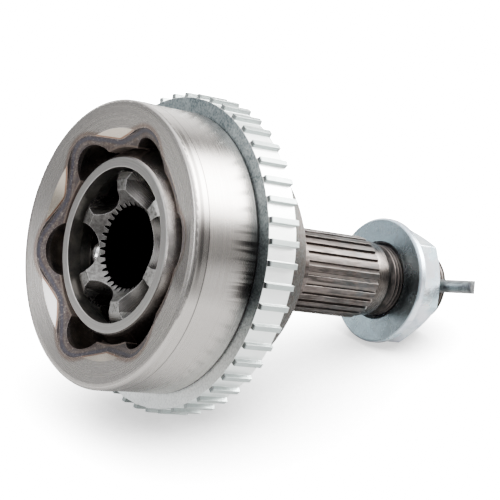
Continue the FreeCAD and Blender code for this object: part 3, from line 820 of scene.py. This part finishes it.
def threadSteel(look, steel):
    made, tree, shader, spot = newMetal("threadSteel")
    wear = useGroup(tree, "wear", {"Size": 1.8, "Specks": 0.5})
    # crests painted with a highlight towards one side; between them dirt and painted shade
    bright = mixValue(tree, towards(tree, spot, *look["highlightTowards"]), 0.15, 1.0)
    crest = both(tree, ease(tree, spot["Radius"], *look["crestOut"]), bright)
    dirtAndShade = paint(tree, steel["thread"], steel["splineRootLightened"], wear["Broad"], 0.3)
    colour = paint(tree, dirtAndShade, paint(tree, steel["splinePink"], steel["spline"], wear["Broad"]), crest)
    roughness = mixValue(tree, crest, *look["rough"])
    cover(tree, shader, colour, roughness, relief(tree, wear["Grain"], look["grainDepth"]))
    return made


stubThread = buildThread(thread)
stubThread.data.materials.append(threadSteel(thread, outerRace))
print("thread on the stub")


# Camera in the frame of the joint, in millimetres
shot = {
    "place": (-344.5, -421.8, 181.6),
    "right": (0.7631, -0.5292, 0.3709),
    "down": (0.1057, -0.4641, -0.8795),
    "lens": 133.1,
    "film": 36,
    "clip": (0.01, 20),
}


def placeCamera(look):
    data = bpy.data.cameras.new("camera")
    data.lens = look["lens"]
    data.sensor_width = look["film"]
    data.clip_start, data.clip_end = look["clip"]
    camera = bpy.data.objects.new("camera", data)
    right = Vector(look["right"]).normalized()
    back = right.cross(-Vector(look["down"])).normalized()
    turn = Matrix((right, back.cross(right), back)).transposed().to_4x4()
    camera.matrix_world = Matrix.Translation(Vector(look["place"]) * mm) @ turn
    bpy.context.scene.collection.objects.link(camera)
    bpy.context.scene.camera = camera


# Floor: pale and matt, with a painted pool of light that leaves it darker far away; up is its upward
# direction
floorPlan = {
    "up": (-0.335, 0.168, 0.927),
    "reach": 3.0,
    "pale": (0.25, 0.25, 0.245, 1),
    "paler": (0.27, 0.27, 0.27, 1),
    "far": (0.03, 0.03, 0.03, 1),
    "near": (0.28, 1.0),
    "glow": (0.7, 0.1),
    "glowReach": 0.10,
    "glowSamples": 8,
    "white": 32.0,
    "shade": 1.2,
    "shadowPower": 2.4,
    "shadowReach": 0.07,
    "shadowSamples": 16,
    "shadowLean": (-0.770, 0.180, 0.613),
}


def lowestPoint(up):
    lowest = []
    for node in nodes.values():
        corners = np.empty(len(node.data.vertices) * 3)
        node.data.vertices.foreach_get("co", corners)
        lowest.append(float((corners.reshape(-1, 3) @ np.array(up)).min()))
    return min(lowest)


def openSky(tree, samples, values):
    # how much of the sky a point of the floor sees past the joint
    return put(tree, "ShaderNodeAmbientOcclusion", values, samples=samples).outputs["AO"]


def floorPaint(look):
    made = bpy.data.materials.new("paleFloor")
    made.use_nodes = True
    tree = made.node_tree
    tree.nodes.clear()
    point = put(tree, "ShaderNodeTexCoord").outputs["Object"]
    far = ease(tree, length(tree, point), *look["near"])
    colour = paint(tree, look["pale"], look["paler"], cloud(tree, point, 3.0, 2.0))
    # painted pool of light: the floor darkens far away
    colour = paint(tree, colour, look["far"], far)
    matt = put(tree, "ShaderNodeBsdfDiffuse", {"Color": colour}).outputs[0]
    # the floor glows as painted light, with painted shade where the joint hides the sky, fading far away
    around = openSky(tree, look["glowSamples"], {"Distance": look["glowReach"]})
    glow = both(tree, around, mixValue(tree, far, *look["glow"]))
    glow = put(tree, "ShaderNodeEmission", {"Color": white, "Strength": glow}).outputs[0]
    lit = put(tree, "ShaderNodeAddShader", {0: matt, 1: glow}).outputs[0]

    # what the camera sees: white, with a soft shadow where the joint stands over it
    shown = {"Distance": look["shadowReach"], "Normal": look["shadowLean"]}
    shown = openSky(tree, look["shadowSamples"], shown)
    shown = both(tree, calc(tree, "POWER", shown, look["shadowPower"]), look["white"])
    shown = calc(tree, "MAXIMUM", shown, look["shade"])
    shown = put(tree, "ShaderNodeEmission", {"Color": white, "Strength": shown}).outputs[0]
    seen = put(tree, "ShaderNodeLightPath").outputs["Is Camera Ray"]
    lit = put(tree, "ShaderNodeMixShader", {0: seen, 1: lit, 2: shown}).outputs[0]
    clear = put(tree, "ShaderNodeBsdfTransparent").outputs[0]
    behind = put(tree, "ShaderNodeNewGeometry").outputs["Backfacing"]
    mixed = put(tree, "ShaderNodeMixShader", {0: behind, 1: lit, 2: clear}).outputs[0]
    put(tree, "ShaderNodeOutputMaterial", {0: mixed})
    return made


def layFloor(look):
    up = Vector(look["up"]).normalized()
    lowest = lowestPoint(up)
    side = up.cross(Vector((1, 0, 0))).normalized() * look["reach"]
    ahead = side.cross(up)
    corners = [side * a + ahead * b + up * lowest for a, b in ((-1, -1), (1, -1), (1, 1), (-1, 1))]
    mesh = bpy.data.meshes.new("floor")
    mesh.from_pydata([tuple(corner) for corner in corners], [], [(0, 1, 2, 3)])
    floor = bpy.data.objects.new("floor", mesh)
    bpy.context.scene.collection.objects.link(floor)
    if mesh.polygons[0].normal.dot(up) < 0:
        mesh.flip_normals()
    floor.data.materials.append(floorPaint(look))


# Studio: a pale room. Its brightness goes round the joint's axis, as a soft box, its
# dark flag and the paler walls stand there; each stop is an angle in degrees and a
# brightness. Behind the camera the room is dark, and to the left it is plain. A glint
# is a small lamp: its direction, its reach in degrees and its brightness.
studio = {
    "round": [
        (0, 4.4), (16, 3.8), (34, 2.6), (46, 1.3), (54, 0.3), (65, 0.3), (73, 9.0), (82, 26.0), (96, 34.0),
        (109, 30.0), (120, 9.0), (129, 2.0), (140, 0.9), (180, 0.7), (300, 1.0), (360, 4.4),
    ],
    "left": 0.6,
    "leftTop": 3.6,
    "leftReach": (-0.3, 0.2),
    "leftHeight": (0.2, 0.7),
    "glints": [
        ((-0.93, 0.36, 0.07), 18.0, 2.5),
        ((-0.93, 0.36, 0.07), 8.0, 10.0),
        ((-0.953, -0.266, 0.112), 7.0, 8.0),
    ],
    "glintSoft": 0.003,
    "leftTint": (0.97, 0.98, 1.0, 1),
    "warmTint": (1.0, 0.985, 0.965, 1),
    "camera": 14.0,
    "darkSide": (-0.6375, -0.7104, 0.2982),
    "darkReach": (38.0, 16.0),
    "dark": 0.75,
    "keyPlace": (0.35, -0.05, 0.5),
    "keyPower": 3.0,
    "keySize": 0.4,
}


def roundTheAxis(tree, height, side, stops):
    # brightness by the angle round the axis, from a ramp over one full turn
    turn = calc(tree, "ADD", calc(tree, "ARCTAN2", height, side), 4 * math.pi)
    turn = calc(tree, "DIVIDE", calc(tree, "MODULO", turn, 2 * math.pi), 2 * math.pi)
    ramp = put(tree, "ShaderNodeValToRGB", {0: turn})
    elements = ramp.color_ramp.elements
    elements.remove(elements[1])
    largest = max(value for angle, value in stops)
    for index, (angle, value) in enumerate(stops):
        stop = elements[0] if index == 0 else elements.new(angle / 360)
        stop.position = angle / 360
        stop.color = (value / largest,) * 3 + (1,)
    return both(tree, ramp.outputs[0], largest)


def lightStudio(look):
    world = bpy.data.worlds.new("studio")
    bpy.context.scene.world = world
    world.use_nodes = True
    tree = world.node_tree
    tree.nodes.clear()
    direction = put(tree, "ShaderNodeTexCoord").outputs["Generated"]
    ahead, side, height = put(tree, "ShaderNodeSeparateXYZ", {0: direction}).outputs
    brightness = roundTheAxis(tree, height, side, look["round"])
    left = ease(tree, ahead, *look["leftReach"], 1.0, 0.0)
    leftSide = mixValue(tree, ease(tree, height, *look["leftHeight"]), look["left"], look["leftTop"])
    brightness = mixValue(tree, left, brightness, leftSide)
    outer, inner = (math.cos(math.radians(angle)) for angle in look["darkReach"])
    dark = ease(tree, likeness(tree, direction, look["darkSide"]), outer, inner)
    brightness = mixValue(tree, dark, brightness, look["dark"])
    soft = look["glintSoft"]
    for heading, reach, value in look["glints"]:
        edge = math.cos(math.radians(reach)) * Vector(heading).length
        glint = ease(tree, likeness(tree, direction, heading), edge - soft, edge + soft)
        brightness = calc(tree, "MULTIPLY_ADD", glint, value, brightness)
    colour = mixColour(tree, left, look["warmTint"], look["leftTint"])
    room = put(tree, "ShaderNodeBackground", {"Color": colour, "Strength": brightness}).outputs[0]
    plain = put(tree, "ShaderNodeBackground", {"Color": white, "Strength": look["camera"]}).outputs[0]
    seen = put(tree, "ShaderNodeLightPath").outputs["Is Camera Ray"]
    shown = put(tree, "ShaderNodeMixShader", {0: seen, 1: room, 2: plain}).outputs[0]
    put(tree, "ShaderNodeOutputWorld", {0: shown})
    data = bpy.data.lights.new("key", "AREA")
    data.energy = look["keyPower"]
    data.size = look["keySize"]
    key = bpy.data.objects.new("key", data)
    key.location = look["keyPlace"]
    key.rotation_mode = "QUATERNION"
    key.rotation_quaternion = (-Vector(look["keyPlace"])).to_track_quat("-Z", "Y")
    bpy.context.scene.collection.objects.link(key)


placeCamera(shot)
layFloor(floorPlan)
lightStudio(studio)
print("camera, floor and light set")
